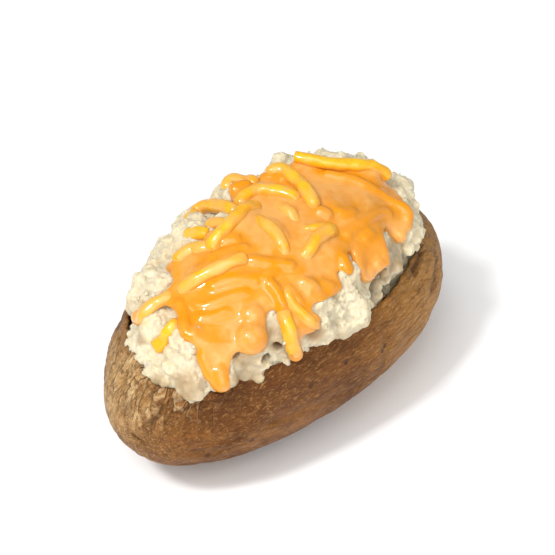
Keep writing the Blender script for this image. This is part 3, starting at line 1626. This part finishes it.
    def add_banks(self, shape: bmesh.types.BMesh, surface: BVHTree,
                  beds: Sequence[Sequence[Place]]) -> None:
        """Bank the sauce up under shreds that lie well inside its edge.

        Args:
            shape: Where the banks are added.
            surface: The blanket.
            beds: Routes of the shreds.
        """
        section = round_section(self.bank_radius, self.bank_rounding)
        edge = point_tree([place.to_3d() for place in flat_route(
            self.outline, self.border_spacing, closed=True)])
        for bed in beds:
            strand = Strand.laid(flat_route(bed, self.strand_spacing), self.heap, [surface],
                                 self.bank_rise - self.bank_radius, self.bank_stiffness)
            inside = [ease(1.0 * MM, 4.0 * MM, edge.find(self.heap.place(point).to_3d())[2])
                      for point in strand.line]
            if min(inside) >= 0.5:
                strand.draw(shape, section, self.bank_sides)

    def add_bulbs(self, shape: bmesh.types.BMesh, surface: BVHTree) -> None:
        """Add the swollen tips of the drips and other round swellings.

        Args:
            shape: Where they are added.
            surface: The blanket.
        """
        for along, across, radius in self.bulbs:
            direction = self.heap.towards(along, across)
            centre = self.heap.centre + direction * (
                self.heap.reach(surface, direction) - self.bulb_sink * radius * MM)
            bmesh.ops.create_icosphere(shape, subdivisions=self.bulb_detail, radius=radius * MM,
                                       matrix=Matrix.Translation(centre))


# ---- The shreds ----------------------------------------------------------------------------


@dataclass(frozen=True)
class Shred:
    """One cheese shred: its route on the heap, its thickness and how its two ends look."""

    places: tuple[Place, ...]
    width: float = 4.0
    height: float = 3.5
    ends: tuple[End, End] = (End.MELTED, End.MELTED)
    film: float = 0.35
    rise: float = 0.36
    stiffness: int = 6


@dataclass
class Shreds:
    """The shreds that lie on the sauce, each laid over those before it."""

    heap: HeapForm = field(default_factory=HeapForm)
    spacing: float = 0.7 * MM
    node_name: str = "cheese_shred_"
    swell: float = 0.15
    swell_length: float = 4 * MM
    uneven: float = 0.36 * MM
    dip_reach: float = 5 * MM
    dip_share: float = 0.3
    film_size: float = 3 * MM
    film_foot: float = 0.8 * MM
    film_strength: float = 0.8
    lit_heights: tuple[float, float] = (0.5 * MM, 1.9 * MM)
    shreds: tuple[Shred, ...] = (
        Shred(((-2, 17), (1, 18), (4, 15), (3, 10)), rise=0.6),
        Shred(((-17, 21), (-12, 23), (-9, 20), (-10, 13), (-11, 6)), 4.4, 4.2, rise=0.75),
        Shred(((-19, 12), (-18, 9), (-18, 5), (-19, 2)), 3.4, 3.2, rise=0.55),
        Shred(((-24, 16), (-23, 12), (-22, 8)), 4.2, 3.8, (End.MELTED, End.CUT), 0.15),
        Shred(((-36, 12), (-33, 12), (-29, 10), (-28, 7), (-26, 4)), 4.2, 3.8, rise=0.5),
        Shred(((-29, 3), (-25, 4), (-20, 3), (-15, 3), (-10, 4), (-5, 4)), 4.5, 4.2, film=0.25,
              rise=0.45),
        Shred(((-8, 9), (-3, 9), (1, 7), (3, 2), (5, -4)), 4.6, 4.2, film=0.25, rise=0.5),
        Shred(((-1, 1), (-2, -3), (-3, -7), (-5, -10)), 3.8, 3.2, rise=0.35),
        Shred(((-5, -11), (-3, -14), (1, -16), (5, -16)), 3.8, 3.4, film=0.25),
        Shred(((8, 11), (11, 7), (10, 2), (7, -4), (5, -8), (4, -10)), 4.4, 4.2, film=0.25,
              rise=0.7),
        Shred(((17, 8), (20, 2), (25, -4), (31, -8), (38, -12)), 4.2, 4.0,
              (End.CUT, End.CUT), 0.05, 0.75, 90),
        Shred(((-10, 1), (-11, -2), (-12, -7), (-14, -11), (-17, -15)), 4.0, 3.6),
        Shred(((-46, 5), (-40, 2), (-35, -1), (-30, -4), (-24, -7)), 4.2, 3.6, rise=0.45),
        Shred(((-69, 4), (-66, 2), (-62, 1), (-58, 0), (-54, 0)), 3.8, 3.6,
              (End.CUT, End.MELTED), 0.05, 0.7),
        Shred(((-46, 7), (-49, 8), (-52, 10), (-56, 12), (-61, 13)), 3.8, 3.2, film=0.6,
              rise=0.4),
        Shred(((5, -18), (0, -17), (-5, -17), (-10, -18), (-14, -19)), 4.4, 4.0, film=0.25),
        Shred(((-25, -20), (-27, -25), (-27, -30), (-25, -36)), 3.8, 3.4,
              (End.MELTED, End.DRAWN), 0.2),
        Shred(((-31, -24), (-34, -29), (-38, -34), (-40, -39)), 4.2, 3.6,
              (End.MELTED, End.MELTED), 0.15),
    )

    def section(self, shred: Shred, phase: float) -> Section:
        """Make the rule for a shred's thickness.

        Args:
            shred: The shred.
            phase: Where its unevenness starts.

        Returns:
            A function of the distances from the two tips.
        """
        def size(near: float, far: float) -> tuple[float, float]:
            """Half width and half height at distances from the two tips."""
            share = min(tip_share(near, shred.ends[0].value * MM),
                        tip_share(far, shred.ends[1].value * MM))
            wave = noise.noise(Vector((near / self.swell_length, phase, 0)))
            wider = 1 + self.swell * wave
            return (shred.width / 2 * MM * share * wider, shred.height / 2 * MM * share / wider)
        return size

    def height_over(self, point: Vector, sauce: BVHTree) -> float:
        """How high a point lies over the sauce, in metres."""
        place = self.heap.direction(self.heap.place(point))
        return (point - self.heap.centre).length - self.heap.reach(sauce, place)

    def film_share(self, point: Vector, sauce: BVHTree, amount: float) -> float:
        """How much sauce covers the shred at a point, from 0 to 1."""
        low = ease(self.film_foot, 0.0, self.height_over(point, sauce))
        cloud = 0.5 + 0.5 * noise.noise(point / self.film_size)
        patch = ease(0.62 - amount, 0.95 - amount, cloud)
        return max(low, self.film_strength * patch)

    def build(self, sauce: BVHTree, food: BVHTree,
              material: bpy.types.Material) -> list[bpy.types.Object]:
        """Build and dress the shreds in the order in which they fell.

        Args:
            sauce: The sauce's surface.
            food: The heap and the skin.
            material: Their finish.

        Returns:
            The pieces.
        """
        pieces: list[bpy.types.Object] = []
        layers = [sauce, food]
        for index, shred in enumerate(self.shreds):
            strand = Strand.laid(flat_route(shred.places, self.spacing), self.heap, layers,
                                 (shred.rise - 0.5) * shred.height * MM, shred.stiffness)
            strand.bury(self.dip_reach, self.dip_share * shred.height * MM,
                        tuple(end is End.MELTED for end in shred.ends))
            shape = bmesh.new()
            strand.draw(shape, self.section(shred, index * 3.7), uneven=self.uneven)
            face_outwards(shape)
            name = f"{self.node_name}{index + 1:02d}"
            item = object_from(f"melted_{name}", shape)
            layers.append(surface_of(item))
            paint(item, film=lambda point: self.film_share(point, sauce, shred.film),
                  top=lambda point: ease(*self.lit_heights, self.height_over(point, sauce)))
            pieces.append(dress(item, material, Slot.SHREDS, name))
        return pieces


# ---- The studio ----------------------------------------------------------------------------


@dataclass
class Studio:
    """White floor, soft key and fill lights, a small bright lamp and the camera."""

    eye: Vector = field(default_factory=lambda: Vector((-0.3776, -0.2860, 0.3944)))
    aim: Vector = field(default_factory=lambda: Vector((0.0, -0.0015, 0.0416)))
    lens: float = 129.8
    sensor: float = 36.0
    floor_side: float = 6.0
    floor_colour: Colour = (0.95, 0.95, 0.95)
    lamp_distance: float = 1.3
    key_from: Vector = field(default_factory=lambda: Vector((-0.84, -0.10, 1.50)))
    key_size: float = 1.0
    key_power: float = 8.2
    spark_from: Vector = field(default_factory=lambda: Vector((-0.92, 0.10, 1.20)))
    spark_size: float = 0.18
    spark_power: float = 9.0
    fill_from: Vector = field(default_factory=lambda: Vector((-0.60, -0.75, 0.60)))
    fill_size: float = 1.2
    fill_power: float = 11.0
    sky: float = 0.34

    def floor(self) -> None:
        """Lay the floor."""
        shape = bmesh.new()
        bmesh.ops.create_grid(shape, x_segments=1, y_segments=1, size=self.floor_side / 2)
        item = object_from("floor", shape)
        material, board, shader = new_finish("floor_paper")
        board.feed(shader, Base_Color=self.floor_colour, Roughness=0.9, Specular_IOR_Level=0.1)
        item.data.materials.append(material)

    def lamp(self, name: str, towards: Vector, size: float, power: float) -> None:
        """Hang a soft lamp that shines at the food.

        Args:
            name: The lamp's name.
            towards: Direction from the food to the lamp.
            size: Side of its square face.
            power: Its power in watts.
        """
        light = bpy.data.lights.new(name, "AREA")
        light.shape = "SQUARE"
        light.size = size
        light.energy = power
        item = bpy.data.objects.new(name, light)
        item.location = self.aim + towards.normalized() * self.lamp_distance
        item.rotation_euler = (-towards).to_track_quat("-Z", "Y").to_euler()
        bpy.context.scene.collection.objects.link(item)

    def build(self) -> None:
        """Set up the whole studio."""
        scene = bpy.context.scene
        scene.view_settings.view_transform = "Standard"
        world = bpy.data.worlds.new("studio")
        world.use_nodes = True
        sky = world.node_tree.nodes["Background"]
        sky.inputs["Color"].default_value = (1, 1, 1, 1)
        sky.inputs["Strength"].default_value = self.sky
        scene.world = world
        self.floor()
        self.lamp("key", self.key_from, self.key_size, self.key_power)
        self.lamp("spark", self.spark_from, self.spark_size, self.spark_power)
        self.lamp("fill", self.fill_from, self.fill_size, self.fill_power)
        camera = bpy.data.cameras.new("camera")
        camera.lens = self.lens
        camera.sensor_width = self.sensor
        item = bpy.data.objects.new("camera", camera)
        item.location = self.eye
        item.rotation_euler = (self.aim - self.eye).to_track_quat("-Z", "Y").to_euler()
        scene.collection.objects.link(item)
        scene.camera = item


# ---- The whole dish ------------------------------------------------------------------------


def report(*items: bpy.types.Object) -> None:
    """Log each piece's name and number of faces."""
    for item in items:
        LOG.info("%s: %d faces", item.name, len(item.data.polygons))


def main() -> None:
    """Build the studio and the dish, piece by piece."""
    logging.basicConfig(level=logging.INFO, format="%(relativeCreated)6d %(message)s")
    noise.seed_set(NOISE_SEED)  # vector noise follows the clock unless it is seeded
    Studio().build()
    skin = Jacket().build(RussetSkin().material())
    report(skin)
    flesh = Flesh()
    flesh_finish = FluffedFlesh().material()
    core = flesh.build_core(flesh_finish)
    heap = flesh.build_heap(flesh_finish)
    report(core, heap)
    food = surface_of(heap, skin)
    crumbs = flesh.build_crumbs(surface_of(heap), flesh_finish)
    shreds = Shreds()
    sauce = Sauce().build(food, [shred.places for shred in shreds.shreds],
                          CheeseSauce().material())
    report(crumbs, sauce)
    report(*shreds.build(surface_of(sauce), food, MeltedShred().material()))


if __name__ == "__main__":
    main()
